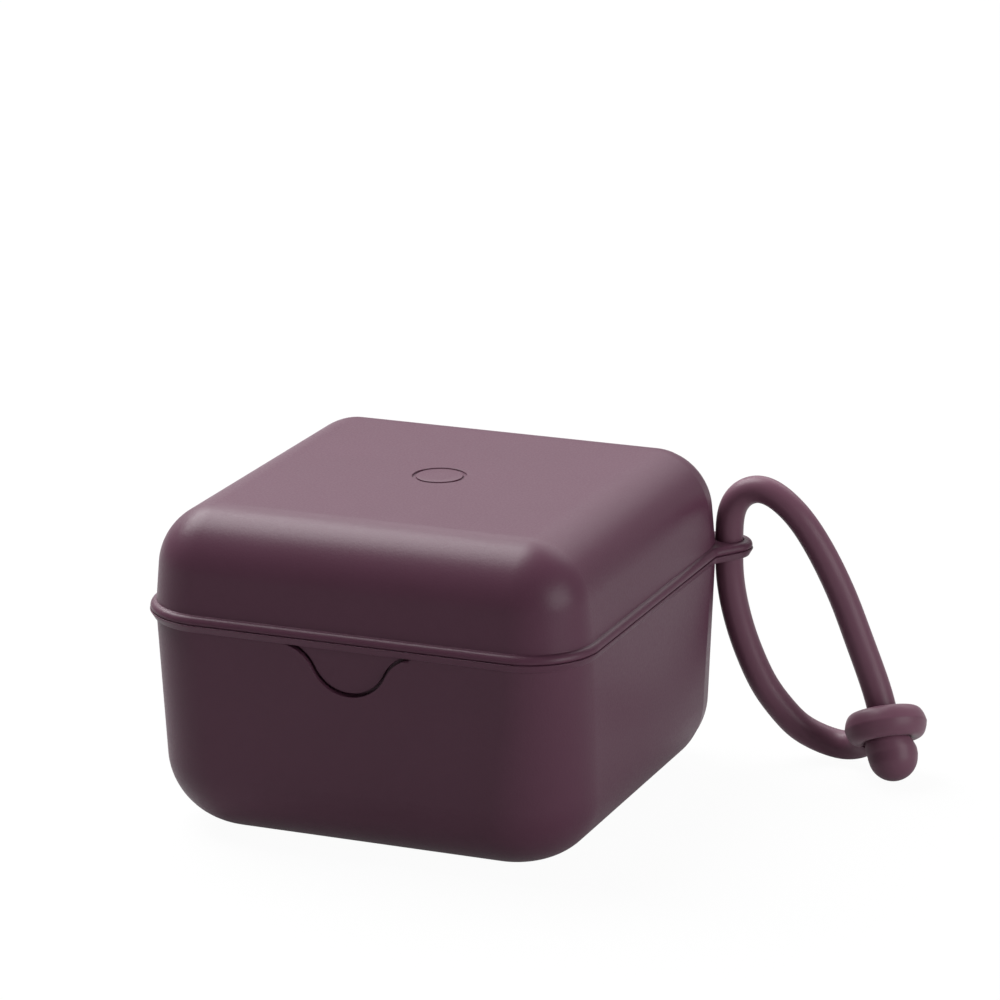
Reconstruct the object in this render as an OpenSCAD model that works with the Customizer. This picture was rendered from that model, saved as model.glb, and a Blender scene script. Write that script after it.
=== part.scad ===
// Steam case for pacifiers: a base and a lift-off lid with rounded edges,
// tied together at one corner by a looped strap of soft round cord.
// Millimetres. +Z is up, the thumb recess faces -Y and the strap's ears stand
// at the corner between +X and +Y. The origin is the middle of the underside.

/* [Case] */
// Width and depth of the case, from wall to wall at the rim
case_w = 88; // [80:1:100]
// Height of the joint between base and lid
rim_z = 43.5; // [40:0.5:46]
// Height of the whole case
case_h = 63.8; // [61:0.2:70]
// Corner radius of the case in plan, at the rim
corner_r = 12.6; // [11:0.2:14]
// Wall thickness of base and lid
wall_t = 2.4; // [2:0.1:2.8]

/* [Base] */
// How far the base's wall leans in between the rim and the underside
base_draft = 0.65; // [0.3:0.05:1.2]
// Radius between the base's wall and its underside
foot_r = 14; // [11:0.5:15]
// Corner radius of the base in plan, carried down to the underside
foot_corner_r = 16.8; // [16:0.2:19]
// How far the lip under the joint stands out at its top
lip_top_out = 1.05; // [0.7:0.05:1.2]
// How far the lip stands out at its lower edge
lip_low_out = 0.45; // [0.2:0.05:0.6]
// Height of the lip
lip_h = 1.6; // [1.2:0.1:2.2]
// Width of the thumb recess, where it meets the lip
recess_w = 27.5; // [24:0.5:32]
// Height of the thumb recess below the lip
recess_h = 9; // [7:0.5:10]
// Radius of the round bottom of the thumb recess
recess_low_r = 8.25; // [6:0.25:9]
// Depth of the thumb recess
recess_depth = 1.5; // [0.8:0.1:1.6]
// Number of ribs on the floor that hold the contents clear of the water
rib_count = 4; // [2:1:5]
// Length of a floor rib
rib_l = 36; // [24:1:40]
// Thickness of a floor rib
rib_t = 1.8; // [1.2:0.1:2.4]
// Height of a floor rib above the floor
rib_h = 2.4; // [1.6:0.1:4]
// Distance from one floor rib to the next
rib_pitch = 11; // [8:0.5:12]

/* [Lid] */
// How far the lid's wall leans in between the rim and the top
lid_draft = 1.7; // [0.8:0.1:2.4]
// Radius between the lid's wall and its top
dome_r = 11.3; // [8:0.1:12.5]
// How far the round bead at the rim stands out
bead_out = 1.1; // [0.8:0.05:1.4]
// Height of the bead
bead_h = 1.85; // [1.4:0.05:2.4]
// Depth of the skirt that reaches into the base
skirt_h = 5; // [3:0.5:7]
// Thickness of the skirt
skirt_t = 1.6; // [1.2:0.1:2.2]
// Diameter of the plain ring pressed into the lid's top
mark_d = 10.5; // [6:0.5:16]
// Width of the pressed ring's line
mark_line = 0.7; // [0.5:0.1:1]
// Depth of the pressed ring's line
mark_deep = 0.35; // [0.2:0.05:0.6]

/* [Ears] */
// Turn of the ears round the corner, from +X
ear_turn = 29.2; // [25:0.2:40]
// Radius of an ear, without the bead
ear_r = 3.5; // [3.4:0.05:4.2]
// Spread of an ear's foot along the corner, to each side
ear_spread = 50; // [46:1:52]

/* [Strap] */
// Diameter of the strap's cord
cord_d = 5.5; // [4.8:0.1:5.6]
// Outer diameter of the strap's ring
ring_d = 16.1; // [15:0.1:17]
// Thickness of the strap's ring
ring_t = 6.1; // [5.5:0.1:6.5]
// Diameter of the hole in the strap's ring
ring_hole_d = 7; // [6.4:0.1:7.6]
// Diameter of the ball at the strap's end
ball_d = 9.7; // [8.5:0.1:10]

/* [Fits] */
// Gap between the lid and the base's rim
joint_gap = 0.15; // [0.1:0.05:0.3]
// Gap between the lid's skirt and the base's wall
skirt_gap = 0.3; // [0.2:0.05:0.5]
// Gap between the cord and the hole in an ear, all round
hole_gap = 0.15; // [0.1:0.05:0.3]
// Gap between the cord and the corner of the case
cord_gap = 0.1; // [0.1:0.05:0.6]

/* [Hidden] */

plum = [0.28, 0.18, 0.22];
soft_plum = [0.34, 0.25, 0.29];
$fn = 64;
corner_steps = 8;
fillet_steps = 7;
bead_steps = 5;
ear_steps = 14;
bell_steps = 9;
overlap = 0.5;

half_w = case_w / 2;
seat_z = rim_z + joint_gap;
corner_c = half_w - corner_r;
smallest_r = 1;
lead_in = 0.4;
rim_band = 2;

hole_r = cord_d / 2 + hole_gap;
ear_reach = corner_r + cord_gap + cord_d / 2;
ear_root = 1;
ear_open = 62;
ear_back = 0.05;
bead_root = 0.4;
ear_c = [corner_c, corner_c] + turn(ear_reach, ear_turn);

bell_r = (pow(recess_w / 2, 2) + recess_h * recess_h) / (2 * recess_h) - recess_low_r;
bell_turn = atan2(bell_r + recess_low_r - recess_h, recess_w / 2);

// The strap's route from the ring's side, through the ears and over to the
// ball. Across, it is measured from the ears' hole. The heights are drawn for
// a joint at route_rim_z, and follow the joint.
route_rim_z = 43.5;
route = [
    [29, 1.5, 8], [27.5, 3.5, 5.5], [25.5, 5, 4], [22.5, 6, 3], [18.5, 6, 3.5],
    [13.5, 4.5, 6], [10.5, 3.5, 9.5], [7, 2, 14.5], [4.5, 1, 20.5], [2.5, 0.5, 26],
    [1, 0, 32], [0, 0, 38], [0, 0, 44], [0, 0, 50], [1.5, 0, 53.5],
    [4, 0, 55.5], [7, 0, 56], [10.5, 0, 54.5], [14.5, 0, 51], [17.5, 0.5, 46.5],
    [20.5, 0.5, 41.5], [23.5, 1.5, 34.5], [26, 1.5, 28], [28, 2, 22.5], [30.5, 2, 16],
    [32, 1, 11.5], [34, -1.5, 7.5]
];
ring_at = [32.7, 0, 10.4];
ring_lean = 30.5;
ring_turn = 126;
ball_at = [34.8, -1.6];
cord_sides = 12;
span_rings = 3;
section_steps = 24;

// ---- curves and outlines ----

function turn(r, a) = [r * cos(a), r * sin(a)];

// Points of an arc about c from angle a to angle b, without its last point
function arc(c, r, a, b, n) = [for (i = [0:n - 1]) c + turn(r, a + (b - a) * i / n)];

// Corner k of a rounded square: the arc's centre lies q from both middle lines
function corner(k, q, r) =
    let (c = turn(q * sqrt(2), 90 * k + 45))
    [for (i = [0:corner_steps]) c + turn(r, 90 * k + 90 * i / corner_steps)];

// Rounded square with its sides drawn in by "inset" from the rim's
function plan(inset, r) = [for (k = [0:3]) each corner(k, half_w - inset - r, r)];

// The rim's outline moved out by b
function out_plan(b) = plan(-b, corner_r + b);

// Outline of the strap's ear with its round edge moved out by b: round the
// cord's hole, then widening towards the corner of the case and into its wall
function ear_plan(b) =
    concat(
        [for (i = [0:ear_steps])
            ear_c + turn(ear_r + b, ear_turn + ear_open * (2 * i / ear_steps - 1))],
        [for (side = [1, 0, -1])
            [corner_c, corner_c] + turn(corner_r - ear_root, ear_turn + side * ear_spread)]
    );

// Bell outline of the thumb recess, with its top edge on the line y = 0
function bell() =
    let (w = recess_w / 2, open = 90 - bell_turn, round = 180 - 2 * bell_turn)
    concat(
        [[w, overlap], [-w, overlap]],
        arc([-w, -bell_r], bell_r, 90, bell_turn, bell_steps),
        arc([0, recess_low_r - recess_h], recess_low_r,
            180 + bell_turn, 180 + bell_turn + round, 2 * bell_steps),
        arc([w, -bell_r], bell_r, 90 + open, 90, bell_steps),
        [[w, 0]]
    );

// ---- levels of the case: each is [height, outline] ----

// Base at angle a of its foot's curve, and w inside its outer face
function base_level(a, w) =
    let (
        z = foot_r - (foot_r - w) * cos(a),
        drawn_in = foot_r - (foot_r - w) * sin(a),
        r = foot_corner_r + (corner_r - foot_corner_r) * z / rim_z
    )
    [z, plan(base_draft * (1 - z / rim_z) + drawn_in, r - drawn_in)];

// Lid at angle a of its top edge's curve, and w inside its outer face
function lid_level(a, w) =
    let (
        z = case_h - dome_r + (dome_r - w) * sin(a),
        inset = lid_draft * (z - rim_z) / (case_h - rim_z) + dome_r - (dome_r - w) * cos(a)
    )
    [z, plan(inset, max(corner_r - inset, smallest_r))];

function straight_level(z, w) = [z, plan(w, corner_r - w)];

// Solid through a list of levels that have the same number of points
module stack(levels) {
    n = len(levels[0][1]);
    top = len(levels) - 1;
    polyhedron(
        [for (l = levels) for (p = l[1]) [p[0], p[1], l[0]]],
        concat(
            [[for (i = [0:n - 1]) i]],
            [for (j = [0:top - 1]) for (i = [0:n - 1])
                each let (a = j * n + i, b = j * n + (i + 1) % n)
                    [[a, a + n, b + n], [a, b + n, b]]],
            [[for (i = [n - 1:-1:0]) top * n + i]]
        )
    );
}

// Hole for the cord through an ear, from one height to another
module ear_hole(z0, z1) {
    translate([ear_c[0], ear_c[1], z0])
        cylinder(r = hole_r, h = z1 - z0);
}

// ---- base ----

module base_outside() {
    stack(concat(
        [for (i = [0:fillet_steps]) base_level(90 * i / fillet_steps, 0)],
        [straight_level(rim_z, 0)]
    ));
    stack([
        [rim_z - lip_h, out_plan(lip_low_out)],
        [rim_z, out_plan(lip_top_out)]
    ]);
    stack([
        [rim_z - lip_h + ear_back, ear_plan(lip_low_out)],
        [rim_z - ear_back, ear_plan(lip_top_out)]
    ]);
}

module base_hollow() {
    stack(concat(
        [for (i = [0:fillet_steps]) base_level(90 * i / fillet_steps, wall_t)],
        [straight_level(rim_z, wall_t), straight_level(rim_z + overlap, wall_t)]
    ));
}

module thumb_recess() {
    translate([0, recess_depth - half_w, rim_z - lip_h])
        rotate([90, 0, 0])
            linear_extrude(recess_depth + lip_top_out)
                intersection() {
                    polygon(bell());
                    translate([-recess_w / 2, -recess_h])
                        square([recess_w, recess_h]);
                }
}

module floor_ribs() {
    for (i = [0:rib_count - 1])
        translate([(i - (rib_count - 1) / 2) * rib_pitch, 0, wall_t - overlap])
            linear_extrude(rib_h + overlap) {
                square([rib_t, rib_l], center = true);
                for (end = [-1, 1])
                    translate([0, end * rib_l / 2])
                        circle(d = rib_t);
            }
}

module base() {
    color(plum) {
        difference() {
            base_outside();
            base_hollow();
            ear_hole(rim_z - lip_h - overlap, rim_z + overlap);
            thumb_recess();
        }
        floor_ribs();
    }
}

// ---- lid ----

module lid_outside() {
    stack(concat(
        [straight_level(seat_z, 0)],
        [for (i = [0:fillet_steps]) lid_level(90 * i / fillet_steps, 0)]
    ));
    stack([for (i = [0:bead_steps])
        let (a = 90 * i / bead_steps)
        [seat_z + bead_h * sin(a), out_plan((bead_out + bead_root) * cos(a) - bead_root)]]);
    stack([for (i = [0:bead_steps])
        let (a = 90 * i / bead_steps)
        [seat_z + ear_back + (bead_h - 2 * ear_back) * sin(a), ear_plan(bead_out * cos(a))]]);
}

module lid_skirt() {
    w = wall_t + skirt_gap;
    stack([
        straight_level(seat_z - skirt_h, w + lead_in),
        straight_level(seat_z - skirt_h + 2 * lead_in, w),
        straight_level(seat_z + overlap, w)
    ]);
}

module lid_hollow() {
    w = wall_t + skirt_gap + skirt_t;
    stack(concat(
        [
            straight_level(seat_z - skirt_h - overlap, w),
            straight_level(seat_z + rim_band, w)
        ],
        [for (i = [0:fillet_steps]) lid_level(90 * i / fillet_steps, wall_t)]
    ));
}

module pressed_ring() {
    translate([0, 0, case_h - mark_deep])
        difference() {
            cylinder(d = mark_d, h = mark_deep + overlap);
            translate([0, 0, -overlap])
                cylinder(d = mark_d - 2 * mark_line, h = mark_deep + 3 * overlap);
        }
}

module lid() {
    color(plum)
        difference() {
            union() {
                lid_outside();
                lid_skirt();
            }
            lid_hollow();
            ear_hole(seat_z - overlap, seat_z + bead_h + overlap);
            pressed_ring();
        }
}

// ---- strap ----

function unit(v) = v / norm(v);

// A point of the route, set against the ears' hole and the joint
function placed(p) = [ear_c[0] + p[0], ear_c[1] + p[1], p[2] * rim_z / route_rim_z];

// The route with one more point before and after, so the curve ends on it
function drawn_route() =
    let (p = [for (q = route) placed(q)], n = len(p) - 1)
    concat([2 * p[0] - p[1]], p, [2 * p[n] - p[n - 1]]);

// Uniform cubic B-spline through span k of the points, with u from 0 to 1
function on_route(p, k, u) =
    (pow(1 - u, 3) * p[k]
        + (3 * pow(u, 3) - 6 * u * u + 4) * p[k + 1]
        + (3 * u * (1 + u - u * u) + 1) * p[k + 2]
        + pow(u, 3) * p[k + 3]) / 6;

function centreline() =
    let (p = drawn_route(), spans = len(p) - 3)
    [for (i = [0:spans * span_rings])
        let (k = min(floor(i / span_rings), spans - 1))
        on_route(p, k, i / span_rings - k)];

// Circles square to the centreline, joined to a tube
module strap_cord() {
    c = centreline();
    last = len(c) - 1;
    s = cord_sides;
    points = [
        for (i = [0:last])
            let (
                along = unit(c[min(i + 1, last)] - c[max(i - 1, 0)]),
                across = unit(cross([0, 1, 0], along)),
                over = cross(along, across)
            )
            for (j = [0:s - 1])
                c[i] + cord_d / 2 * (across * cos(360 * j / s) + over * sin(360 * j / s))
    ];
    color(soft_plum)
        polyhedron(points, concat(
            [[for (j = [0:s - 1]) j]],
            [for (i = [0:last - 1]) for (j = [0:s - 1])
                each let (a = i * s + j, b = i * s + (j + 1) % s)
                    [[a, a + s, b + s], [a, b + s, b]]],
            [[for (j = [s - 1:-1:0]) last * s + j]]
        ));
}

module strap_ring() {
    w = (ring_d - ring_hole_d) / 4;
    color(soft_plum)
        translate(placed(ring_at))
            rotate([0, ring_lean, ring_turn])
                rotate_extrude()
                    polygon([for (i = [0:section_steps - 1])
                        let (a = 360 * i / section_steps)
                        [ring_d / 2 - w + w * cos(a), ring_t / 2 * sin(a)]]);
}

module strap_ball() {
    color(soft_plum)
        translate([ear_c[0] + ball_at[0], ear_c[1] + ball_at[1], ball_d / 2])
            sphere(d = ball_d);
}

base();
lid();
strap_cord();
strap_ring();
strap_ball();
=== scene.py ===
"""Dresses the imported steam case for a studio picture: base, lid, strap, floor, lights and camera.

The case's walls, bead, lip, ears and thumb recess are rebuilt as fine surfaces from the same
sizes as the CAD part, and the strap as one smooth tube along the part's own route. Sizes in
the form classes are millimetres, in the part's frame: +Z is up and -Y is the front.
"""

import logging
import math
from dataclasses import dataclass
from enum import Enum

import bmesh
import bpy
import numpy as np
from mathutils import Matrix, Vector


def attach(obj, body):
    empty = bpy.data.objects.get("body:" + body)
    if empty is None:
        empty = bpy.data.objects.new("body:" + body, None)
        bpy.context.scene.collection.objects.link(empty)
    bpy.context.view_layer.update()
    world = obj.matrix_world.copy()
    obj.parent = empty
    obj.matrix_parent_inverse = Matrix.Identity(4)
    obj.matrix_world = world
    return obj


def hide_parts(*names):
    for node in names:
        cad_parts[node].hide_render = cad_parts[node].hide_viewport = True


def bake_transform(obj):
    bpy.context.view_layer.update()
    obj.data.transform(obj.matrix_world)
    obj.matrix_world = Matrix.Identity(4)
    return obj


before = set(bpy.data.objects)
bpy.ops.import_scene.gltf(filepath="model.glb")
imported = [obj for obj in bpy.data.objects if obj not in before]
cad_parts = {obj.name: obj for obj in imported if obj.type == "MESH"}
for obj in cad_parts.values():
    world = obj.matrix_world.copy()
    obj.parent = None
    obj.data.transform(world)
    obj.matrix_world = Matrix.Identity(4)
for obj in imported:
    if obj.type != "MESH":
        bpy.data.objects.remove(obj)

LOG = logging.getLogger("scene")
MM = 0.001
TAU = 2 * math.pi
WELD = 0.001


# ---------------------------------------------------------------- numbers and curves


def linear_colour(code: str) -> tuple[float, float, float, float]:
    """Turns an sRGB hex colour into the linear values that shaders work in.

    Args:
        code: Six hex digits, such as "5a3a48".

    Returns:
        Linear red, green and blue, and an alpha of 1.
    """
    srgb = np.array([int(code[i : i + 2], 16) / 255 for i in (0, 2, 4)])
    linear = np.where(srgb <= 0.04045, srgb / 12.92, ((srgb + 0.055) / 1.055) ** 2.4)
    return (*linear.tolist(), 1.0)


def direction(degrees: np.ndarray | float) -> np.ndarray:
    """Unit vectors in the plane at these angles from +X.

    Args:
        degrees: One angle or an array of them.

    Returns:
        An array whose last axis is (x, y).
    """
    a = np.radians(np.asarray(degrees, float))
    return np.stack([np.cos(a), np.sin(a)], axis=-1)


def arc(
    cx: float, cy: float, radius: float, start: float, stop: float, count: int
) -> np.ndarray:
    """Points on a circular arc, both ends included.

    Args:
        cx: First coordinate of the centre.
        cy: Second coordinate of the centre.
        radius: Radius of the arc.
        start: Angle of the first point, in degrees.
        stop: Angle of the last point, in degrees.
        count: Number of points.

    Returns:
        Array of shape (count, 2).
    """
    return np.array([cx, cy]) + radius * direction(np.linspace(start, stop, count))


def swell(away: np.ndarray, height: float, reach: float) -> np.ndarray:
    """A soft rise: its height times e to the power of minus (away / reach) squared.

    Args:
        away: Distances from the top of the rise.
        height: Height of the rise.
        reach: Distance at which about a third of it is left.

    Returns:
        The height at each distance.
    """
    return height * np.exp(-((away / reach) ** 2))


def revolved(out: np.ndarray, up: np.ndarray, count: int) -> np.ndarray:
    """A section turned about +Z: (out cos t, out sin t, up) at each angle t.

    Args:
        out: Distance of each point of the section from the axis.
        up: Height of each point.
        count: Number of angles.

    Returns:
        Array of shape (points, count, 3).
    """
    turn = np.linspace(0, TAU, count, endpoint=False)
    return np.stack(
        [
            out[:, None] * np.cos(turn),
            out[:, None] * np.sin(turn),
            np.broadcast_to(up[:, None], (len(up), count)),
        ],
        axis=-1,
    )


# ---------------------------------------------------------------- meshes


@dataclass
class Sheet:
    """A grid of points that becomes a closed skin.

    Attributes:
        points: Array of shape (rows, columns, 3), in millimetres. Each row is a closed ring,
            counter-clockwise seen from the side that the rows climb towards.
        ring: True if the last row joins the first, as round a torus. Otherwise both end rows
            are closed with a flat cap.
        inward: True if the rows run the other way, so that the faces have to turn over.
    """

    points: np.ndarray
    ring: bool = False
    inward: bool = False

    def faces(self, first: int) -> list[list[int]]:
        """Corner numbers of the faces, outward side counter-clockwise.

        Args:
            first: Number of the sheet's first vertex within its mesh.

        Returns:
            One list of vertex numbers for each face.
        """
        rows, columns = self.points.shape[:2]
        number = np.arange(rows * columns).reshape(rows, columns) + first
        lower = number if self.ring else number[:-1]
        upper = np.roll(number, -1, axis=0) if self.ring else number[1:]
        quads = np.stack(
            [lower, np.roll(lower, -1, axis=1), np.roll(upper, -1, axis=1), upper],
            axis=-1,
        ).reshape(-1, 4)
        found = quads.tolist()
        if not self.ring:
            found += [number[0, ::-1].tolist(), number[-1].tolist()]
        return [f[::-1] for f in found] if self.inward else found


def make_mesh(name: str, sheets: list[Sheet], sharp: float = 40.0) -> bpy.types.Object:
    """Builds one object from closed sheets, smooth but for edges sharper than an angle.

    Args:
        name: Name of the object and its mesh.
        sheets: The closed skins that the mesh holds.
        sharp: Angle in degrees above which an edge is shaded sharp.

    Returns:
        The new object, linked to the scene.
    """
    points, faces, first = [], [], 0
    for sheet in sheets:
        flat = sheet.points.reshape(-1, 3)
        points.append(flat)
        faces += sheet.faces(first)
        first += len(flat)
    mesh = bpy.data.meshes.new(name)
    mesh.from_pydata((np.vstack(points) * MM).tolist(), [], faces)
    weld(mesh)
    mesh.polygons.foreach_set("use_smooth", np.ones(len(mesh.polygons), bool))
    mesh.set_sharp_from_angle(angle=math.radians(sharp))
    made = bpy.data.objects.new(name, mesh)
    bpy.context.scene.collection.objects.link(made)
    return made


def weld(mesh: bpy.types.Mesh) -> None:
    """Merges points that coincide, as where the columns of a square run into a circle.

    Args:
        mesh: The mesh to clean.
    """
    skin = bmesh.new()
    skin.from_mesh(mesh)
    bmesh.ops.remove_doubles(skin, verts=skin.verts, dist=WELD * MM)
    skin.to_mesh(mesh)
    skin.free()
    mesh.validate()


def apply_modifiers(piece: bpy.types.Object) -> None:
    """Turns the mesh with its modifiers into the object's plain mesh.

    Args:
        piece: The object to settle.
    """
    graph = bpy.context.evaluated_depsgraph_get()
    settled = bpy.data.meshes.new_from_object(
        piece.evaluated_get(graph), preserve_all_data_layers=True, depsgraph=graph
    )
    piece.modifiers.clear()
    piece.data = settled


def cut_away(piece: bpy.types.Object, tools: list[Sheet]) -> None:
    """Cuts closed shapes out of a piece.

    Args:
        piece: The piece to cut.
        tools: The shapes to take away.
    """
    for sheet in tools:
        tool = make_mesh("tool", [sheet])
        cut = piece.modifiers.new("cut", "BOOLEAN")
        cut.operation, cut.solver, cut.object = "DIFFERENCE", "EXACT", tool
        apply_modifiers(piece)
        bpy.data.objects.remove(tool)


def weigh_normals(piece: bpy.types.Object) -> None:
    """Lets the large faces set the shading, so that flat walls stay flat next to a curve.

    Args:
        piece: The object to shade.
    """
    weigh = piece.modifiers.new("weighted", "WEIGHTED_NORMAL")
    weigh.keep_sharp = True
    weigh.weight = 100
    apply_modifiers(piece)


# ---------------------------------------------------------------- materials


class Look(Enum):
    """The object's finishes."""

    CASE = "case"
    STRAP = "strap"


@dataclass(frozen=True)
class Moulded:
    """A moulded plastic or rubber and the texture of its mould.

    Attributes:
        name: Name of the real material and how it was made.
        slot: The record's material slot; not used.
        colour: Base colour, sRGB hex.
        shade: Colour of the darker drift in the pigment, sRGB hex.
        rough: Middle of the roughness.
        rough_spread: How far the roughness drifts to each side.
        specular: Specular level on the shader's own scale.
        grain_mm: Size of the mould's spark-eroded grain.
        grain_depth_mm: Height of that grain.
        wave_mm: Size of the slow waves left by shrinkage.
        wave_depth_mm: Height of those waves.
        fuzz: Strength of the soft sheen at a glancing angle.
        ior: Refractive index of the material.
        drift_mm: Size of the drift in the pigment.
    """

    name: str
    slot: str
    colour: str
    shade: str
    rough: float
    rough_spread: float
    specular: float
    grain_mm: float
    grain_depth_mm: float
    wave_mm: float
    wave_depth_mm: float
    fuzz: float = 0.0
    ior: float = 1.49
    drift_mm: float = 14.0

    def build(self) -> bpy.types.Material:
        """Makes the node material.

        Returns:
            The new material.
        """
        made = bpy.data.materials.new(self.name)
        made.use_nodes = True
        tree = made.node_tree
        tree.nodes.clear()
        place = add_node(tree, "ShaderNodeTexCoord")
        drift, grain, wave = (
            add_node(
                tree,
                "ShaderNodeTexNoise",
                {"Scale": 1 / (size * MM), "Detail": detail, "Roughness": share},
                {"Vector": place.outputs["Object"]},
            )
            for size, detail, share in (
                (self.drift_mm, 3.0, 0.55),
                (self.grain_mm, 2.0, 0.6),
                (self.wave_mm, 1.0, 0.4),
            )
        )
        mixed = add_node(
            tree,
            "ShaderNodeMix",
            {"A": linear_colour(self.colour), "B": linear_colour(self.shade)},
            {"Factor": drift.outputs["Fac"]},
            data_type="RGBA",
        )
        rough = add_node(
            tree,
            "ShaderNodeMapRange",
            {
                "From Min": 0.3,
                "From Max": 0.7,
                "To Min": self.rough - self.rough_spread,
                "To Max": self.rough + self.rough_spread,
            },
            {"Value": grain.outputs["Fac"]},
        )
        waves = add_node(
            tree,
            "ShaderNodeBump",
            {"Strength": 1.0, "Distance": self.wave_depth_mm * MM},
            {"Height": wave.outputs["Fac"]},
        )
        bump = add_node(
            tree,
            "ShaderNodeBump",
            {"Strength": 1.0, "Distance": self.grain_depth_mm * MM},
            {"Height": grain.outputs["Fac"], "Normal": waves.outputs["Normal"]},
        )
        skin = add_node(
            tree,
            "ShaderNodeBsdfPrincipled",
            {
                "Specular IOR Level": self.specular,
                "IOR": self.ior,
                "Sheen Weight": self.fuzz,
                "Sheen Roughness": 0.5,
            },
            {
                "Base Color": mixed.outputs["Result"],
                "Roughness": rough.outputs["Result"],
                "Normal": bump.outputs["Normal"],
            },
        )
        add_node(tree, "ShaderNodeOutputMaterial", links={"Surface": skin.outputs["BSDF"]})
        return made


def add_node(
    tree: bpy.types.NodeTree,
    kind: str,
    values: dict[str | int, object] | None = None,
    links: dict[str | int, bpy.types.NodeSocket] | None = None,
    **settings: object,
) -> bpy.types.Node:
    """Adds a node, sets its own properties and sockets, and links its inputs.

    Args:
        tree: The node tree.
        kind: Blender's name for the type of node.
        values: Name or number of an input to its value.
        links: Name or number of an input to the output that feeds it.
        **settings: Properties of the node itself.

    Returns:
        The new node.
    """
    node = tree.nodes.new(kind)
    for name, value in settings.items():
        setattr(node, name, value)
    live: dict[str | int, bpy.types.NodeSocket] = dict(enumerate(node.inputs))
    live.update({s.name: s for s in reversed(node.inputs) if s.enabled})
    for key, value in (values or {}).items():
        live[key].default_value = value
    for key, output in (links or {}).items():
        tree.links.new(output, live[key])
    return node


# The case is moulded in a spark-eroded tool, whose fine even grain spreads every light into
# a broad soft band without a mirror image. The real grain, about 0.1 mm, is too fine to show,
# so it is drawn at 0.42 mm. The strap comes from a smoother tool: a satin skin with a faint
# sheen at its edges, a little lighter than the case, its grain drawn at 0.3 mm. The waves
# are those that shrinkage leaves in a moulded wall.
MATERIALS = {
    Look.CASE: Moulded(
        name="polypropylene_spark_eroded_matte",
        slot="case_plastic",
        colour="563445",
        shade="523141",
        rough=0.38,
        rough_spread=0.05,
        specular=0.2,
        grain_mm=0.42,
        grain_depth_mm=0.02,
        wave_mm=16.0,
        wave_depth_mm=0.02,
    ),
    Look.STRAP: Moulded(
        name="silicone_rubber_satin",
        slot="strap_silicone",
        colour="6b4757",
        shade="664353",
        rough=0.4,
        rough_spread=0.04,
        specular=0.2,
        grain_mm=0.3,
        grain_depth_mm=0.008,
        wave_mm=9.0,
        wave_depth_mm=0.01,
        fuzz=0.05,
    ),
}


# ---------------------------------------------------------------- the case's form


@dataclass(frozen=True)
class CaseForm:
    """Sizes that base and lid share, in millimetres.

    Attributes:
        width: Width of the walls at the rim, without lip and bead.
        rim: Height of the rim, where the walls stand farthest out.
        height: Height of the closed case.
        corner: Radius of the rim's corners, seen from above.
        wall: Thickness of the walls.
        seat: Height of the line between lid and base.
        skirt_gap: Room between the lid's skirt and the base's wall.
    """

    width: float = 88.0
    rim: float = 43.5
    height: float = 63.8
    corner: float = 12.6
    wall: float = 2.4
    seat: float = 43.45
    skirt_gap: float = 0.3

    @property
    def half(self) -> float:
        """Half the width at the rim."""
        return self.width / 2


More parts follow.
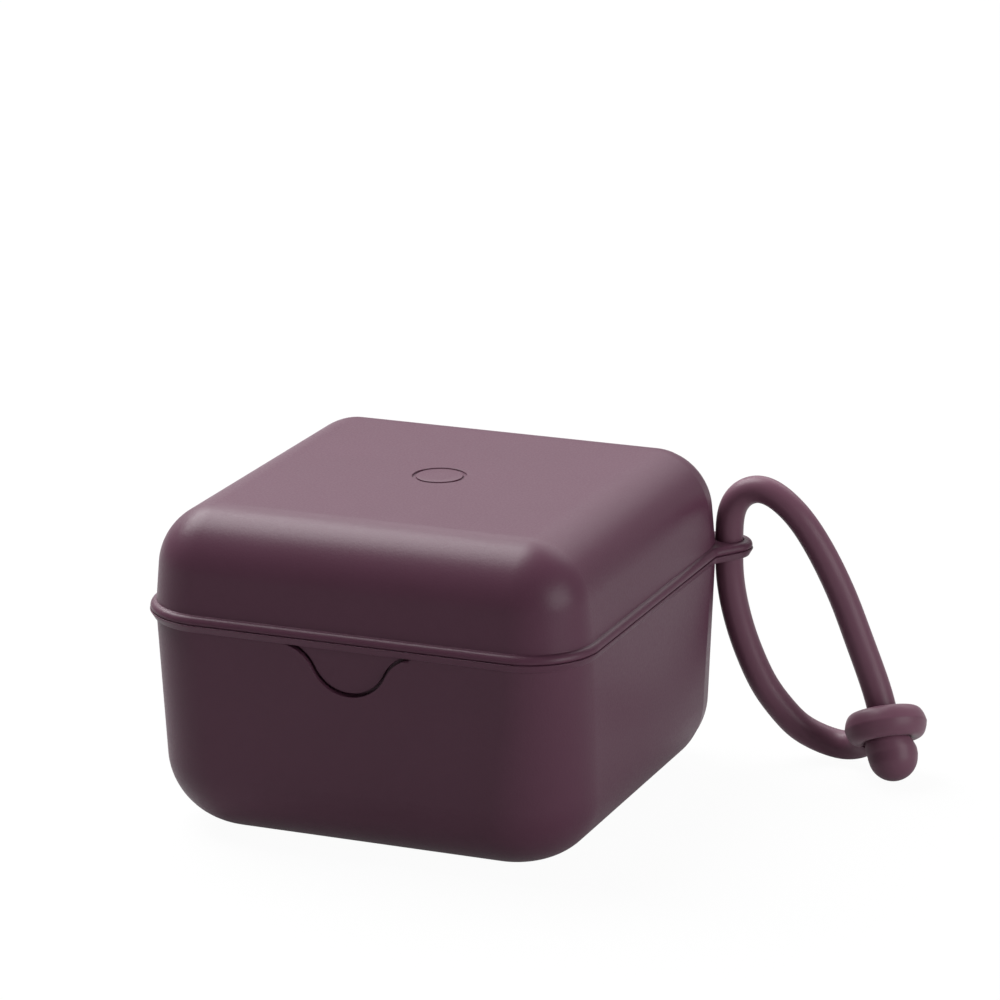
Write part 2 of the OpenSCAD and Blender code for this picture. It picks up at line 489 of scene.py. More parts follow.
@dataclass(frozen=True)
class Ear:
    """The eyelet for the cord on the case's corner.

    Attributes:
        case: The form that the ear grows from.
        turn: Angle of the ear round the corner, in degrees from +X.
        reach: Distance of the hole from the centre of the corner's arc.
        radius: Radius of the ear at its upper edge.
        flank: How far each flank leans from the ear's own direction, in degrees.
        flare: Radius of the hollow where a flank meets the case.
        hole: Radius of the hole.
        soft: Radius on the hole's edges.
    """

    case: CaseForm
    turn: float = 29.2
    reach: float = 15.45
    radius: float = 3.5
    flank: float = 27.0
    flare: float = 3.2
    hole: float = 2.82
    soft: float = 0.3

    def corner(self) -> np.ndarray:
        """Middle of the corner's arc, as (x, y)."""
        return np.full(2, self.case.half - self.case.corner)

    def centre(self) -> np.ndarray:
        """Middle of the hole, as (x, y)."""
        return self.corner() + self.reach * direction(self.turn)

    def hollows(self) -> tuple[np.ndarray, np.ndarray]:
        """Middles of the two hollows beside the ear.

        The lower one touches the straight side of the case, the upper one the arc of its
        corner, and both touch a flank.

        Returns:
            Lower and upper middle, as (x, y).
        """
        away = self.radius + self.flare
        spread = 90 - self.flank
        low, high = direction(self.turn - spread), direction(self.turn + spread)
        across = self.case.half + self.flare
        side = away - (across - self.centre()[0]) * low[0]
        lower = np.array([across, self.centre()[1] + side / low[1]])
        along = np.array([-high[1], high[0]])
        base = self.centre() + away * high - self.corner()
        ahead = base @ along
        far = self.case.corner + self.flare
        step = -ahead - math.sqrt(ahead**2 - base @ base + far**2)
        return lower, self.corner() + base + step * along

    def edge(self) -> tuple[np.ndarray, np.ndarray, np.ndarray]:
        """The ear's outline as arcs, joined by straight flanks.

        Moved out by b, a point lies at its centre plus (radius + sign times b) times its
        direction. The hollows shrink as the edge moves out, so their sign is -1.

        Returns:
            Centres (n, 2), rows of (radius, sign) and directions (n, 2).
        """
        lower, upper = self.hollows()
        spread = 90 - self.flank
        first, last = self.turn - spread, self.turn + spread
        arcs = [
            (lower, self.flare, -1, 180, first + 180, 14),
            (self.centre(), self.radius, 1, first, last, 64),
            (upper, self.flare, -1, last - 180, self.end() - 180, 14),
        ]
        centres, sizes, ways = [], [], []
        for centre, radius, sign, start, stop, count in arcs:
            centres.append(np.repeat(centre[None], count, axis=0))
            sizes.append(np.repeat([[radius, sign]], count, axis=0))
            ways.append(direction(np.linspace(start, stop, count)))
        return np.vstack(centres), np.vstack(sizes), np.vstack(ways)

    def end(self) -> float:
        """Angle round the case's corner at which the ear's outline runs out, in degrees."""
        way = self.hollows()[1] - self.corner()
        return math.degrees(math.atan2(way[1], way[0]))

    def drill(self, low: float, high: float) -> Sheet:
        """The shape that is cut through an ear for the cord, with its edges eased.

        Args:
            low: Height of the ear's underside.
            high: Height of the ear's upper face.

        Returns:
            The tool as a closed sheet.
        """
        r, soft = self.hole, self.soft
        section = np.vstack(
            [
                [(r + soft, low - 1)],
                arc(r + soft, low + soft, soft, 270, 180, 6),
                arc(r + soft, high - soft, soft, 180, 90, 6),
                [(r + soft, high + 0.6)],
            ]
        )
        turns = np.linspace(0, 360, 72, endpoint=False)
        flat = self.centre() + section[:, 0][:, None, None] * direction(turns)
        tall = np.broadcast_to(section[:, 1][:, None, None], (*flat.shape[:2], 1))
        return Sheet(np.concatenate([flat, tall], axis=-1))


@dataclass(frozen=True)
class Plan:
    """Rounded squares that carry the ear where a row asks for it.

    Attributes:
        case: The case's form.
        ear: The ear on its corner.
        corner_steps: Steps round a full corner.
        side_steps: Places along a side, as shares of the way between two corners.
    """

    case: CaseForm
    ear: Ear
    corner_steps: int = 28
    side_steps: tuple[float, ...] = (0.02, 0.07, 0.16, 0.3, 0.5, 0.7, 0.84, 0.93, 0.975)

    def ear_columns(self) -> tuple[np.ndarray, np.ndarray]:
        """Where the ear's columns run down the wall when a row has no ear.

        They are spread along the wall as the ear's outline is along its own length.

        Returns:
            Centres and directions, as for a square of size one.
        """
        centres, sizes, ways = self.ear.edge()
        outline = centres + sizes[:, :1] * ways
        run = np.concatenate(
            [[0], np.cumsum(np.linalg.norm(np.diff(outline, axis=0), axis=1))]
        )
        inner = self.case.half - self.case.corner
        straight = inner - outline[0, 1]
        total = straight + math.radians(self.ear.end()) * self.case.corner
        at = run / run[-1] * total
        up = 1 - np.maximum(straight - at, 0) / inner
        round_ = np.degrees(np.maximum(at - straight, 0) / self.case.corner)
        return np.stack([np.ones_like(up), up], axis=-1), direction(round_)

    def square(self) -> tuple[np.ndarray, np.ndarray]:
        """Centres and directions of a rounded square of size one.

        A point of the outline lies at q times its centre plus r times its direction, where r
        is the corner radius and q the distance of the corners' centres from the middle. The
        columns start with the ear's.

        Returns:
            Two arrays of shape (columns, 2).
        """
        signs = np.array([[1, 1], [-1, 1], [-1, -1], [1, -1]], float)
        between = np.array(self.side_steps)[:, None]
        ear_centres, ear_ways = self.ear_columns()
        centres, ways = [ear_centres], [ear_ways]
        for k in range(4):
            start = self.ear.end() if k == 0 else 0.0
            count = round(self.corner_steps * (90 - start) / 90) + 1
            turns = np.linspace(start, 90, count)[1 if k == 0 else 0 :]
            centres.append(np.repeat(signs[k : k + 1], len(turns), axis=0))
            ways.append(direction(turns + 90 * k))
            ahead = signs[(k + 1) % 4]
            centres.append((1 - between) * signs[k] + between * ahead)
            ways.append(np.repeat(direction([90.0 * (k + 1)]), len(between), axis=0))
        return np.vstack(centres), np.vstack(ways)

    def rings(self, rows: np.ndarray) -> np.ndarray:
        """Rounded squares stacked by height.

        Args:
            rows: Array of (height, inset, corner radius, share of the ear). A share of 1
                gives the ear in full, 0 none of it.

        Returns:
            Array of shape (rows, columns, 3).
        """
        centres, ways = self.square()
        z, inset, radius, share = (column[:, None, None] for column in rows.T)
        flat = (self.case.half - inset - radius) * centres + radius * ways
        ear_centres, sizes, ear_ways = self.ear.edge()
        reach = sizes[:, 0, None] - sizes[:, 1, None] * inset
        n = len(ear_centres)
        flat[:, :n] += share * (ear_centres + reach * ear_ways - flat[:, :n])
        return np.concatenate([flat, np.broadcast_to(z, (*flat.shape[:2], 1))], axis=-1)


# ---------------------------------------------------------------- the base


@dataclass(frozen=True)
class Base:
    """The case's lower part: foot, wall, thumb recess, lip, ear and floor ribs.

    Attributes:
        plan: The outlines of the wall, with the ear.
        draft: How far the wall leans in from the rim to the table.
        foot: Radius of the foot, seen from the side.
        foot_corner: Radius of the corners at the table, seen from above.
        lip_top: How far the lip stands out at its top.
        lip_low: How far the lip stands out at its lower edge.
        lip: Height of the lip below the rim.
        line_gap: Width of the line between lip and lid.
        recess_width: Width of the thumb recess at its top.
        recess_height: Height of the recess below the lip.
        recess_low: Radius of the recess's lower arc.
        recess_depth: Depth of the groove round the recess's panel.
        panel_depth: Depth of the panel.
        panel_gap: Width of the groove.
        ribs: Number of bars on the floor.
        rib_length: Distance between the middles of a bar's round ends.
        rib_width: Width of a bar.
        rib_height: Height of a bar above the floor.
        rib_pitch: Distance from one bar to the next.
    """

    plan: Plan
    draft: float = 0.65
    foot: float = 14.0
    foot_corner: float = 16.8
    lip_top: float = 1.18
    lip_low: float = 0.55
    lip: float = 1.6
    line_gap: float = 0.03
    recess_width: float = 28.4
    recess_height: float = 9.0
    recess_low: float = 8.25
    recess_depth: float = 1.5
    panel_depth: float = 0.6
    panel_gap: float = 0.58
    ribs: int = 4
    rib_length: float = 36.0
    rib_width: float = 1.8
    rib_height: float = 2.4
    rib_pitch: float = 11.0

    @property
    def case(self) -> CaseForm:
        """Sizes shared with the lid."""
        return self.plan.case

    @property
    def crest(self) -> float:
        """Height of the lip's top, just below the lid."""
        return self.case.seat - self.line_gap

    def lean(self, z: np.ndarray) -> np.ndarray:
        """How far the wall stands inside the rim's at a height."""
        return self.draft * (1 - z / self.case.rim)

    def profile(self) -> np.ndarray:
        """Section of the wall from the middle of the foot over the rim to the floor.

        Returns:
            Array of (distance inside the outer wall, height).
        """
        rim, wall, foot = self.case.rim, self.case.wall, self.foot
        under = rim - self.lip
        crest = self.crest
        soft, crown, brim = 0.25, 0.2, 0.35
        return np.vstack(
            [
                [(foot + 12, 0), (foot + 4, 0)],
                arc(foot, foot, foot, -90, -180, 26),
                [(0, z) for z in (17, 22, 28, 34, 39, 41, under - 0.02)],
                [(-self.lip_low + soft, under)],
                arc(-self.lip_low + soft, under + soft, soft, -110, -170, 5),
                arc(-self.lip_top + crown, crest - crown, crown, 175, 90, 8),
                arc(wall - brim, crest - brim, brim, 90, 0, 6),
                [(wall, z) for z in (41, 38, 34, 28, 20)],
                arc(foot, foot, foot - wall, -180, -90, 22),
                [(foot + 5, wall), (foot + 12, wall)],
            ]
        )

    def skin(self) -> Sheet:
        """The base's whole skin with its ear."""
        inside, z = self.profile().T
        slope = self.foot_corner + (self.case.corner - self.foot_corner) * z / self.case.rim
        radius = np.maximum(slope - inside, 1.0)
        ear = (inside < -0.1).astype(float)
        return Sheet(
            self.plan.rings(np.stack([z, self.lean(z) + inside, radius, ear], axis=-1))
        )

    def recess_tool(self) -> Sheet:
        """The shape that is cut from the front wall for the thumb.

        Its outline is a bell: one arc below, and on each side an arc that turns outwards
        until it runs along the lip. Moved out by o, the lower arc grows and the others shrink.
        A narrow groove along the outline is cut deeper than the panel inside it.

        Returns:
            The tool as a closed sheet, its floor first.
        """
        w, h, low = self.recess_width / 2, self.recess_height, self.recess_low
        side = (w * w + h * h) / (2 * h) - low
        tilt = math.degrees(math.atan2(side + low - h, w))
        depth, gap, deep = self.panel_depth, self.panel_gap, self.recess_depth
        soft, into_lip = 0.12, 0.03
        left = np.linspace(90, tilt, 26)
        round_ = np.linspace(180 + tilt, 360 - tilt, 60)[1:-1]
        centres = np.vstack(
            [
                np.repeat([[-w, -side]], len(left), axis=0),
                np.repeat([[0, low - h]], len(round_), axis=0),
                np.repeat([[w, -side]], len(left), axis=0),
            ]
        )
        radii = np.concatenate(
            [np.full(len(left), side), np.full(len(round_), low), np.full(len(left), side)]
        )
        signs = np.concatenate(
            [-np.ones(len(left)), np.ones(len(round_)), -np.ones(len(left))]
        )
        ways = np.vstack([direction(left), direction(round_), direction(180 - left[::-1])])
        panel = arc(-gap - soft, depth + soft, soft, -90, 0, 5)
        mouth = arc(soft, soft, soft, 180, 258, 6)
        rows = np.vstack(
            [
                [(-gap - 2 * soft, depth)],
                panel,
                [(-gap, deep), (0, deep), (0, depth)],
                mouth,
                [(mouth[-1, 0], -3.0)],
            ]
        )
        o, d = rows[:, 0][:, None, None], rows[:, 1][:, None]
        bell = centres + (radii[:, None] + signs[:, None] * o) * ways
        top = np.array([[w, into_lip], [-w, into_lip]])
        bell = np.concatenate([bell, np.broadcast_to(top, (len(rows), 2, 2))], axis=1)
        height = bell[..., 1] + self.case.rim - self.lip
        across = bell[..., 0]
        out = self.lean(height) - self.case.half + d
        return Sheet(np.stack([across, out, height], axis=-1))

    def rib_sheets(self) -> list[Sheet]:
        """The bars on the floor, with round ends and softened tops.

        The outline is a circle whose halves are moved apart by rib_length. It is stacked up
        the bar's section, whose radius shrinks along an arc at the top.
        """
        w, soft = self.rib_width / 2, 0.5
        turns = np.concatenate([np.linspace(0, 180, 15), np.linspace(180, 360, 15)])
        ends = np.concatenate([np.full(15, 0.5), np.full(15, -0.5)]) * self.rib_length
        top = self.case.wall + self.rib_height
        section = np.vstack(
            [[(w, self.case.wall - 0.5)], arc(w - soft, top - soft, soft, 0, 90, 7)]
        )
        ring = section[:, 0][:, None, None] * direction(turns)
        ring = ring + np.stack([np.zeros_like(ends), ends], axis=-1)
        tall = np.broadcast_to(section[:, 1][:, None, None], (*ring.shape[:2], 1))
        bar = np.concatenate([ring, tall], axis=-1)
        middle = (self.ribs - 1) / 2
        return [
            Sheet(bar + np.array([(i - middle) * self.rib_pitch, 0, 0]))
            for i in range(self.ribs)
        ]

    def build(self, finish: bpy.types.Material) -> None:
        """Makes the base's pieces and puts them in place of the CAD node.

        Args:
            finish: The case's material.
        """
        body = make_mesh("base_shell", [self.skin()], 50)
        hole = self.plan.ear.drill(self.case.rim - self.lip, self.crest)
        cut_away(body, [self.recess_tool(), hole])
        weigh_normals(body)
        ribs = make_mesh("floor_ribs", self.rib_sheets(), 50)
        dress([body, ribs], finish, "base")
        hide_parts("base")


# ---------------------------------------------------------------- the lid


@dataclass(frozen=True)
class Lid:
    """The case's upper part: dome, bead, ear, skirt and the plain ring pressed on top.

    Attributes:
        plan: The outlines of the wall, with the ear.
        draft: How far the wall leans in from the rim to the top.
        dome: Radius of the upper edges, seen from the side.
        bead_out: How far the bead stands out.
        bead: Height of the bead.
        skirt: How far the skirt reaches into the base.
        skirt_wall: Thickness of the skirt.
        ring: Diameter of the pressed ring.
        ring_line: Width of its groove.
        ring_deep: Depth of its groove.
    """

    plan: Plan
    draft: float = 1.7
    dome: float = 11.3
    bead_out: float = 1.1
    bead: float = 1.65
    skirt: float = 4.8
    skirt_wall: float = 1.6
    ring: float = 10.5
    ring_line: float = 0.7
    ring_deep: float = 0.35

    @property
    def case(self) -> CaseForm:
        """Sizes shared with the base."""
        return self.plan.case

    def lean(self, z: np.ndarray) -> np.ndarray:
        """How far the wall stands inside the rim's at a height."""
        rise = self.case.height - self.case.rim
        return self.draft * np.maximum(z - self.case.rim, 0) / rise

    def bead_edge(self) -> np.ndarray:
        """Outer edge of the bead from its lower corner to where the groove over it starts.

        The bead is fullest a little above its lower face. At angle t it stands out by bead_out
        times cos t. Its height from its fullest place is rise times sin t above it, and drop
        times sin t below it.

        Returns:
            Array of (distance outside the wall, height).
        """
        soft, belly, drop = 0.1, 0.5, 0.7
        middle = self.case.seat + belly
        rise = self.bead - belly
        lower, upper = (
            np.stack([self.bead_out * np.cos(t), middle + tall * np.sin(t)], axis=-1)
            for t, tall in (
                (np.radians(np.linspace(-38, -6, 6)), drop),
                (np.radians(np.linspace(0, 80, 16)), rise),
            )
        )
        foot = arc(lower[0, 0] - 0.8 * soft, self.case.seat + soft, soft, -90, -50, 4)
        return np.vstack([foot, lower, upper])

    def profile(self) -> np.ndarray:
        """Section of the wall from the ceiling round the skirt and the bead to the top.

        Returns:
            Array of (distance inside the outer wall, height).
        """
        top, wall, dome = self.case.height, self.case.wall, self.dome
        seat, gap = self.case.seat, self.case.skirt_gap
        inner = wall + gap + self.skirt_wall
        low = seat - self.skirt
        bead = self.bead_edge()
        hollow, over = bead[-1]
        return np.vstack(
            [
                [(dome + 10, top - wall), (dome + 4, top - wall)],
                arc(dome, top - dome, dome - wall, 90, 180, 18),
                [(wall, z) for z in (51, 50)],
                arc(wall + 1, seat + 4, 1, 180, 225, 4),
                arc(inner - 1, seat + 1.4, 1, 40, 0, 4),
                [(inner, z) for z in (44, 42, low + 1)],
                arc(inner - 0.4, low + 0.4, 0.4, 0, -90, 5),
                arc(wall + gap + 0.6, low + 0.6, 0.6, -90, -180, 6),
                [(wall + gap, z) for z in (40.5, 42.5, seat - 0.2)],
                arc(wall + gap - 0.2, seat - 0.2, 0.2, 0, 90, 4),
                bead * [-1, 1],
                arc(-hollow, over + hollow, hollow, -75, 0, 7)[1:],
                [(0, z) for z in (46.6, 47.8, 49, 50.5, 51.8)],
                arc(dome, top - dome, dome, 180, 90, 30),
                [(dome + 2, top), (dome + 6, top)],
            ]
        )

    def skin(self) -> Sheet:
        """The lid's whole skin with its ear.

        Over the flat top the outline turns from a rounded square into a circle, so that the
        pressed ring can be part of the same grid.

        Returns:
            The skin as a closed sheet.
        """
        inside, z = self.profile().T
        inset = self.lean(z) + inside
        radius = np.maximum(self.case.corner - inset, 1.0)
        ear = np.clip(-inside / self.bead_edge()[-1, 0], 0, 1)
        rows = np.stack([z, inset, radius, ear], axis=-1)
        soft, deep = 0.12, self.ring_deep
        top, outer = self.case.height, self.ring / 2
        inner = outer - self.ring_line
        groove = np.vstack(
            [
                [(outer + 6, top), (outer + 2, top)],
                arc(outer + soft, top - soft, soft, 90, 180, 5),
                arc(outer - soft, top - deep + soft, soft, 0, -90, 5),
                arc(inner + soft, top - deep + soft, soft, -90, -180, 5),
                arc(inner - soft, top - soft, soft, 0, 90, 5),
                [(inner * 0.5, top)],
            ]
        )
        radius, z = groove.T
        no_ear = np.zeros(len(groove))
        circles = np.stack([z, self.case.half - radius, radius, no_ear], axis=-1)
        return Sheet(self.plan.rings(np.vstack([rows, circles])))

    def build(self, finish: bpy.types.Material) -> None:
        """Makes the lid's pieces and puts them in place of the CAD node.

        Args:
            finish: The case's material.
        """
        body = make_mesh("lid_shell", [self.skin()], 50)
        top = self.case.seat + self.bead
        cut_away(body, [self.plan.ear.drill(self.case.seat, top)])
        weigh_normals(body)
        dress([body], finish, "lid")
        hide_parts("lid")


# ---------------------------------------------------------------- the strap


@dataclass(frozen=True)
class Strap:
    """The silicone strap: a round cord through both ears, with a ring and a ball.

    Attributes:
        ear: The ears' form. All places are measured from the middle of its hole.
        diameter: Thickness of the cord.
        ring_fillet: Growth of the cord's radius where it leaves the ring, and its reach.
        ball_fillet: The same where it runs into the ball.
        ring_taper: The same for the slow thickening towards the ring.
        ball_taper: The same towards the ball.
        waist: What the radius loses over the arch, and its reach.
        arch_at: Place of the arch along the cord.
        seam: Height of the mould's line along the cord, and its width in radians.
        span_steps: Steps on each span of the middle line.
        sides: Points round the cord.
        ring: Outer diameter of the ring.
        ring_thick: Height of the ring along its axis.
        ring_hole: Diameter of the ring's hole.
        ring_full: Power that makes its section fuller than an oval.
        ring_ridge: How far its outer side slopes in above and below the equator.
        ring_seam: Height and width of the mould's line round it.
        ring_at: Middle of the ring.
        ring_lean: Angle of the ring's axis from the vertical, in degrees.
        ring_turn: Direction in which the axis leans, in degrees from +X.
        ball: Diameter of the ball's lower half.
        ball_at: Middle of the ball, as (x, y).
        ball_shoulder: Diameter of the ball just above its equator.
        ball_top: Height of the ball's upper end above its equator.
        ball_full: Power that makes its upper half fuller than an oval.
        ball_seam: Height and width of the mould's line round it.
        route: Points that steer the cord's middle line.
    """

    ear: Ear
    diameter: float = 5.5
    ring_fillet: tuple[float, float] = (0.7, 3.2)
    ball_fillet: tuple[float, float] = (0.5, 3.0)
    ring_taper: tuple[float, float] = (0.13, 24.0)
    ball_taper: tuple[float, float] = (0.13, 28.0)
    waist: tuple[float, float] = (0.1, 9.0)
    arch_at: float = 82.0
    seam: tuple[float, float] = (0.09, 0.35)
    span_steps: int = 14
    sides: int = 48
    ring: float = 16.1
    ring_thick: float = 6.1
    ring_hole: float = 7.0
    ring_full: float = 0.9
    ring_ridge: float = 0.35
    ring_seam: tuple[float, float] = (0.05, 0.25)
    ring_at: tuple[float, float, float] = (32.7, 0.0, 10.4)
    ring_lean: float = 30.5
    ring_turn: float = 126.0
    ball: float = 9.7
    ball_at: tuple[float, float] = (34.8, -1.6)
    ball_shoulder: float = 10.1
    ball_top: float = 5.85
    ball_full: float = 0.87
    ball_seam: tuple[float, float] = (0.07, 0.3)
    route: tuple[tuple[float, float, float], ...] = (
        (29, 1.5, 8), (27.5, 3.5, 5.5), (25.5, 5, 4), (22.5, 6, 3), (18.5, 6, 3.5),
        (13.5, 4.5, 6), (10.5, 3.5, 9.5), (7, 2, 14.5), (4.5, 1, 20.5), (2.5, 0.5, 26),
        (1, 0, 32), (0, 0, 38), (0, 0, 44), (0, 0, 50), (1.5, 0, 53.5),
        (4, 0, 55.5), (7, 0, 56), (10.5, 0, 54.5), (14.5, 0, 51), (17.5, 0.5, 46.5),
        (20.5, 0.5, 41.5), (23.5, 1.5, 34.5), (26, 1.5, 28), (28, 2, 22.5), (30.5, 2, 16),
        (32, 1, 11.5), (34, -1.5, 7.5),
    )  # fmt: skip

    def placed(self, points: np.ndarray) -> np.ndarray:
        """Moves points that are measured from the ears' hole into the part's frame."""
        return points + np.array([*self.ear.centre(), 0.0])

    def centreline(self) -> np.ndarray:
        """The cord's middle line: a uniform cubic B-spline through the route's points.

        Each span mixes four neighbouring points by the cubic B-spline weights. One more
        point before the first and after the last make the line start and end on them.

        Returns:
            Array of shape (points, 3).
        """
        p = self.placed(np.array(self.route, float))
        p = np.vstack([2 * p[0] - p[1], p, 2 * p[-1] - p[-2]])
        spans = len(p) - 3
        at = np.linspace(0, spans, spans * self.span_steps + 1)
        k = np.minimum(at.astype(int), spans - 1)
        u = at - k
        weights = (
            np.stack(
                [
                    (1 - u) ** 3,
                    3 * u**3 - 6 * u**2 + 4,
                    3 * u * (1 + u - u**2) + 1,
                    u**3,
                ]
            )
            / 6
        )
        return np.einsum("wn,wnc->nc", weights, np.stack([p[k + i] for i in range(4)]))

    def tube(self, line: np.ndarray) -> Sheet:
        """The cord as circles square to its middle line.

        The point at angle t lies its radius times (cos t across + sin t over) from the line.
        The cord is a little fuller towards both ends and slimmer over its arch. It thickens
        by a fillet where it grows out of the ring and into the ball, and a fine raised line
        on two sides shows where the halves of its mould met.

        Args:
            line: The cord's middle line.

        Returns:
            The tube as a closed sheet.
        """
        along = np.gradient(line, axis=0)
        along /= np.linalg.norm(along, axis=1, keepdims=True)
        across = np.cross([0.0, 1.0, 0.0], along)
        across /= np.linalg.norm(across, axis=1, keepdims=True)
        over = np.cross(along, across)
        step = np.linalg.norm(np.diff(line, axis=0), axis=1)
        run = np.concatenate([[0], np.cumsum(step)])
        left = run[-1] - run
        fillet = swell(run, *self.ring_fillet) + swell(left, *self.ball_fillet)
        taper = swell(run, *self.ring_taper) + swell(left, *self.ball_taper)
        waist = swell(run - self.arch_at, *self.waist)
        turn = np.linspace(0, TAU, self.sides, endpoint=False)
        away = np.minimum(np.abs(turn - math.pi / 2), np.abs(turn - 3 * math.pi / 2))
        seam = self.seam[0] * np.exp(-away / self.seam[1])
        radius = self.diameter / 2 + (fillet + taper - waist)[:, None] + seam[None, :]
        points = (
            line[:, None]
            + (radius * np.cos(turn))[..., None] * across[:, None]
            + (radius * np.sin(turn))[..., None] * over[:, None]
        )
        return Sheet(points)

    def ring_sheet(self) -> Sheet:
        """The thick ring: a full oval with a slight ridge at its equator, turned about +Z.

        At angle a the section reaches out by its half width times |cos a| to the power
        ring_full, and up by its half height times |sin a| to the same power, each with its
        own sign. The mould's line is measured round the section, whose mean radius is 2.6.
        """
        width, mean = (self.ring - self.ring_hole) / 4, 2.6
        a = np.linspace(0, TAU, 96, endpoint=False)
        seam = swell(np.minimum(a, TAU - a) * mean, *self.ring_seam)
        ridge = self.ring_ridge * np.abs(np.sin(a)) * np.maximum(np.cos(a), 0) ** 2
        out = self.ring / 2 - width - ridge + (width + seam) * np.sign(np.cos(a)) * (
            np.abs(np.cos(a)) ** self.ring_full
        )
        up = self.ring_thick / 2 * np.sign(np.sin(a)) * np.abs(np.sin(a)) ** self.ring_full
        centre = self.placed(np.array(self.ring_at))
        return Sheet(self.leaned(revolved(out, up, 128)) + centre, ring=True)

    def leaned(self, points: np.ndarray) -> np.ndarray:
        """Turns points about the origin so that +Z becomes the ring's axis."""
        tilt = Matrix.Rotation(math.radians(self.ring_lean), 3, "Y")
        spin = Matrix.Rotation(math.radians(self.ring_turn), 3, "Z")
        return points @ np.array(spin @ tilt).T

    def ball_sheet(self) -> Sheet:
        """The ball at the cord's end: a half sphere below and an egg's blunt end above.

        Above the equator, at angle t, it is wide times cos t broad and ball_top times sin t
        high, both to the power ball_full. It stands along the ring's axis, and over the first
        3.5 mm above its equator it moves in line with the ring, whose lower edge it fills.
        """
        r, shoulder = self.ball / 2, self.ball_shoulder / 2
        below = arc(0, 0, r, -89, 0, 26)
        turn = np.radians(np.linspace(0, 87, 30))[1:]
        up = self.ball_top * np.sin(turn) ** self.ball_full
        wide = r + (shoulder - r) * np.minimum(up / 1.2, 1)
        above = np.stack([wide * np.cos(turn) ** self.ball_full, up], axis=-1)
        out, up = np.vstack([below, above]).T
        points = revolved(out + swell(up, *self.ball_seam), up, 72)
        middle = np.array([*self.ball_at, r])
        aside = self.leaned(np.eye(3)) @ (np.array(self.ring_at) - middle)
        share = np.clip(up / 3.5, 0, 1)
        ease = share**2 * (3 - 2 * share)
        points[..., :2] += ease[:, None, None] * aside[:2]
        return Sheet(self.leaned(points) + self.placed(middle))

    def build(self, finish: bpy.types.Material) -> None:
        """Makes the strap's pieces and puts them in the CAD nodes' place.

        Args:
            finish: The strap's material.
        """
        line = self.centreline()
        cord = make_mesh("cord", [self.tube(line)], 60)
        ring = make_mesh("ring", [self.ring_sheet()], 60)
        ball = make_mesh("ball", [self.ball_sheet()], 60)
        dress([ring, ball], finish, "base")
        cord.data.materials.append(finish)
        x, y = self.ear.centre() * MM
        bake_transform(cord)
        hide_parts("strap_cord")
        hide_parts("strap_ring")
        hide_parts("strap_ball")


def dress(
    pieces: list[bpy.types.Object],
    finish: bpy.types.Material,
    body: str,
) -> None:
    """Gives pieces their material and lets them ride on a body.

    Args:
        pieces: The pieces.
        finish: Their material.
        body: Name of the CAD body.
    """
    for piece in pieces:
        piece.data.materials.clear()
        piece.data.materials.append(finish)
        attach(piece, body)


# ---------------------------------------------------------------- camera, lights and floor


@dataclass(frozen=True)
class Shot:
    """The camera of the photograph, in the part's frame.

    Attributes:
        eye: Camera position, in millimetres.
        aim: Point that the optical axis passes through, in millimetres.
        roll: Turn about the optical axis, in degrees.
        focal: Focal length in pixels of a picture 1000 wide.
        axis: Where the optical axis meets the picture, in pixels from its upper left.
    """

    eye: tuple[float, float, float] = (357.3, -830.9, 326.9)
    aim: tuple[float, float, float] = (7.276, 0.0, 60.669)
    roll: float = -0.47
    focal: float = 4926.65
    axis: tuple[float, float] = (474.85, 494.84)

    def build(self) -> bpy.types.Object:
        """Makes the camera and hands it to the scene.

        Returns:
            The camera object.
        """
        data = bpy.data.cameras.new("camera")
        data.sensor_width = 36.0
        data.lens = self.focal * 36.0 / 1000
        data.shift_x = (500 - self.axis[0]) / 1000
        data.shift_y = (self.axis[1] - 500) / 1000
        data.clip_start, data.clip_end = 0.05, 20.0
        camera = bpy.data.objects.new("camera", data)
        look = Vector(self.aim) - Vector(self.eye)
        turned = look.to_track_quat("-Z", "Y").to_matrix()
        spin = Matrix.Rotation(math.radians(self.roll), 3, "Z")
        place = Matrix.Translation(Vector(self.eye) * MM)
        camera.matrix_world = place @ (turned @ spin).to_4x4()
        bpy.context.scene.collection.objects.link(camera)
        bpy.context.scene.camera = camera
        return camera


@dataclass(frozen=True)
class Softbox:
    """A large area light aimed at the object.

    Attributes:
        name: Name of the light.
        place: Position in metres.
        size: Width and height in metres.
        power: Power in watts.
    """

    name: str
    place: tuple[float, float, float]
    size: tuple[float, float]
    power: float

    def build(self) -> None:
        """Makes the light, aimed at the middle of the case."""
        data = bpy.data.lights.new(self.name, "AREA")
        data.shape = "RECTANGLE"
        data.size, data.size_y = self.size
        data.energy = self.power
        lamp = bpy.data.objects.new(self.name, data)
        look = Vector((0.02, 0.0, 0.04)) - Vector(self.place)
        lamp.rotation_mode = "QUATERNION"
        lamp.rotation_quaternion = look.to_track_quat("-Z", "Y")
        lamp.location = self.place
        bpy.context.scene.collection.objects.link(lamp)


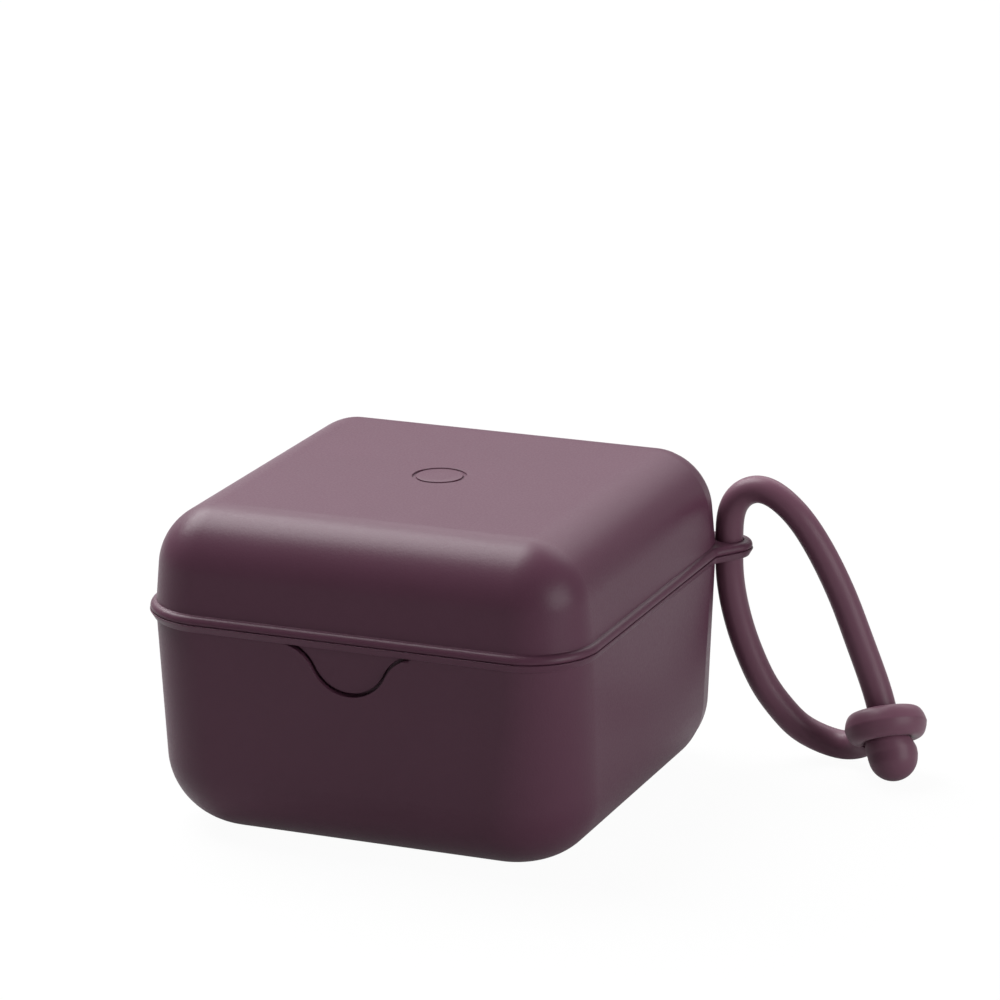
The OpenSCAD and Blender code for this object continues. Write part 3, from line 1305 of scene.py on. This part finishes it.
@dataclass(frozen=True)
class Studio:
    """White paper floor and surroundings with soft lights.

    Attributes:
        surround: Strength of the surroundings as a light.
        surround_gloss: Share of their white that shows in the plastic's gloss.
        paper: Grey of the paper as a light sees it, sRGB hex.
        paper_fill: Light that comes back from the paper farther off.
        paper_glow: Strength of the paper's own white in the picture.
        paper_tint: Grey that the lights add to it there, and the object's shadow takes away.
        paper_gloss: Share of that white that shows in the plastic's gloss.
        floor_size: Side of the square floor, in metres.
        floor_drop: How far the floor lies under the object, in metres.
        lights: The lamps.
    """

    surround: float = 0.01
    surround_gloss: float = 0.4
    paper: str = "a0a0a0"
    paper_fill: float = 0.17
    paper_glow: float = 0.96
    paper_tint: str = "303030"
    paper_gloss: float = 0.06
    floor_size: float = 6.0
    floor_drop: float = 0.00005
    lights: tuple[Softbox, ...] = (
        Softbox("over_left", (-0.6, 0.22, 1.0), (0.8, 1.0), 26.5),
        Softbox("back_high", (0.0, 0.9, 0.9), (1.2, 0.8), 7.5),
        Softbox("back_left", (-1.0, 0.9, 0.6), (0.9, 0.8), 2.0),
        Softbox("right", (1.1, -0.27, 0.35), (0.8, 0.6), 8.0),
    )

    def floor(self) -> None:
        """Makes the floor, white in the picture but for the object's soft shadow."""
        s = self.floor_size / 2
        mesh = bpy.data.meshes.new("floor")
        mesh.from_pydata([(-s, -s, 0), (s, -s, 0), (s, s, 0), (-s, s, 0)], [], [(0, 1, 2, 3)])
        plane = bpy.data.objects.new("floor", mesh)
        plane.location.z = -self.floor_drop
        bpy.context.scene.collection.objects.link(plane)
        paper = bpy.data.materials.new("seamless_paper_white")
        paper.use_nodes = True
        tree = paper.node_tree
        tree.nodes.clear()
        grey = self.lit_paper(tree, self.paper, self.paper_fill)
        white = self.lit_paper(tree, self.paper_tint, self.paper_glow)
        seen = self.seen(tree, self.paper_gloss)
        pick = add_node(
            tree,
            "ShaderNodeMixShader",
            links={0: seen, 1: grey.outputs[0], 2: white.outputs[0]},
        )
        add_node(tree, "ShaderNodeOutputMaterial", links={"Surface": pick.outputs[0]})
        mesh.materials.append(paper)

    def lit_paper(self, tree: bpy.types.NodeTree, grey: str, glow: float) -> bpy.types.Node:
        """Adds dull paper with a light of its own.

        Args:
            tree: The node tree to add to.
            grey: The paper's colour, sRGB hex.
            glow: Strength of its light.

        Returns:
            The node with the shader.
        """
        dull = add_node(tree, "ShaderNodeBsdfDiffuse", {"Color": linear_colour(grey)})
        light = add_node(tree, "ShaderNodeEmission", {"Strength": glow})
        return add_node(
            tree, "ShaderNodeAddShader", links={0: dull.outputs[0], 1: light.outputs[0]}
        )

    def seen(self, tree: bpy.types.NodeTree, gloss: float) -> bpy.types.NodeSocket:
        """Tells where a surface is looked at, straight or in a reflection, and not just lit.

        Args:
            tree: The node tree to add to.
            gloss: Weight of what shows in a gloss.

        Returns:
            The output, from 0 to 1.
        """
        ray = add_node(tree, "ShaderNodeLightPath")
        direct = add_node(
            tree,
            "ShaderNodeMath",
            links={0: ray.outputs["Is Camera Ray"], 1: ray.outputs["Is Transmission Ray"]},
            operation="MAXIMUM",
        )
        mirrored = add_node(
            tree,
            "ShaderNodeMath",
            {1: gloss},
            {0: ray.outputs["Is Glossy Ray"]},
            operation="MULTIPLY",
        )
        either = add_node(
            tree,
            "ShaderNodeMath",
            links={0: direct.outputs[0], 1: mirrored.outputs[0]},
            operation="MAXIMUM",
        )
        return either.outputs[0]

    def world(self) -> None:
        """Makes the surroundings: white where they are seen, dim as a light."""
        world = bpy.data.worlds.new("studio")
        bpy.context.scene.world = world
        world.use_nodes = True
        tree = world.node_tree
        tree.nodes.clear()
        white = (1.0, 1.0, 1.0, 1.0)
        dim, bright = (
            add_node(tree, "ShaderNodeBackground", {"Color": white, "Strength": strength})
            for strength in (self.surround, 1.0)
        )
        seen = self.seen(tree, self.surround_gloss)
        pick = add_node(
            tree,
            "ShaderNodeMixShader",
            links={0: seen, 1: dim.outputs[0], 2: bright.outputs[0]},
        )
        add_node(tree, "ShaderNodeOutputWorld", links={"Surface": pick.outputs[0]})

    def build(self) -> None:
        """Makes floor, surroundings and lights."""
        self.floor()
        self.world()
        for light in self.lights:
            light.build()
        bpy.context.scene.view_settings.view_transform = "Standard"


def main() -> None:
    """Builds the scene in order."""
    logging.basicConfig(level=logging.INFO, format="%(name)s: %(message)s")
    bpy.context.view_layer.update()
    case = CaseForm()
    ear = Ear(case)
    plan = Plan(case, ear)
    looks = {look: MATERIALS[look].build() for look in MATERIALS}
    Shot().build()
    LOG.info("camera set")
    Strap(ear).build(looks[Look.STRAP])
    LOG.info("strap built")
    Base(plan).build(looks[Look.CASE])
    LOG.info("base built")
    Lid(plan).build(looks[Look.CASE])
    LOG.info("lid built")
    Studio().build()


if __name__ == "__main__":
    main()
